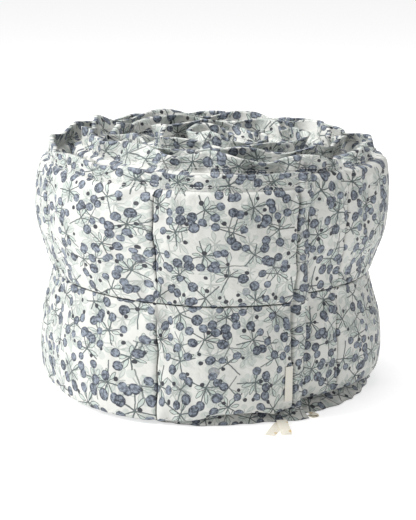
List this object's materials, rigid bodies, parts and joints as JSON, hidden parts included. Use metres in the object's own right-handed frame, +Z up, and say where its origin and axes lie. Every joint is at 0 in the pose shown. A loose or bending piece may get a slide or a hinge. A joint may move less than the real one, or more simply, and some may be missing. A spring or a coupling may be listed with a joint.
{
  "type": "rolled crib bumper",
  "caption": "Quilted cotton crib bumper with padded cells in two rows, wound into a roll and standing on its lower hem, with tape ties and a blank label.",
  "frame": {"origin": "on the surface that the roll stands on, at the middle of the lower face of its bounding box", "axes": "+Z up; -Y is the front, where the outer end, the label and the ties are; +X is to the right seen from the front"},
  "size_m": [0.4096, 0.4558, 0.3053],
  "materials": {
    "printed_cotton": "plain-woven cotton, off-white, printed with slate-blue berries, grey-green stems and pale leaves",
    "cotton_tape": "cream cotton tape with small ochre marks",
    "woven_label": "cream woven label, folded, blank"
  },
  "bodies": {
    "root": {"padded_strip": "printed_cotton", "label": "woven_label", "tie_loop": "cotton_tape", "tie_tail_left": "cotton_tape", "tie_tail_right": "cotton_tape"}
  },
  "joints": []
}
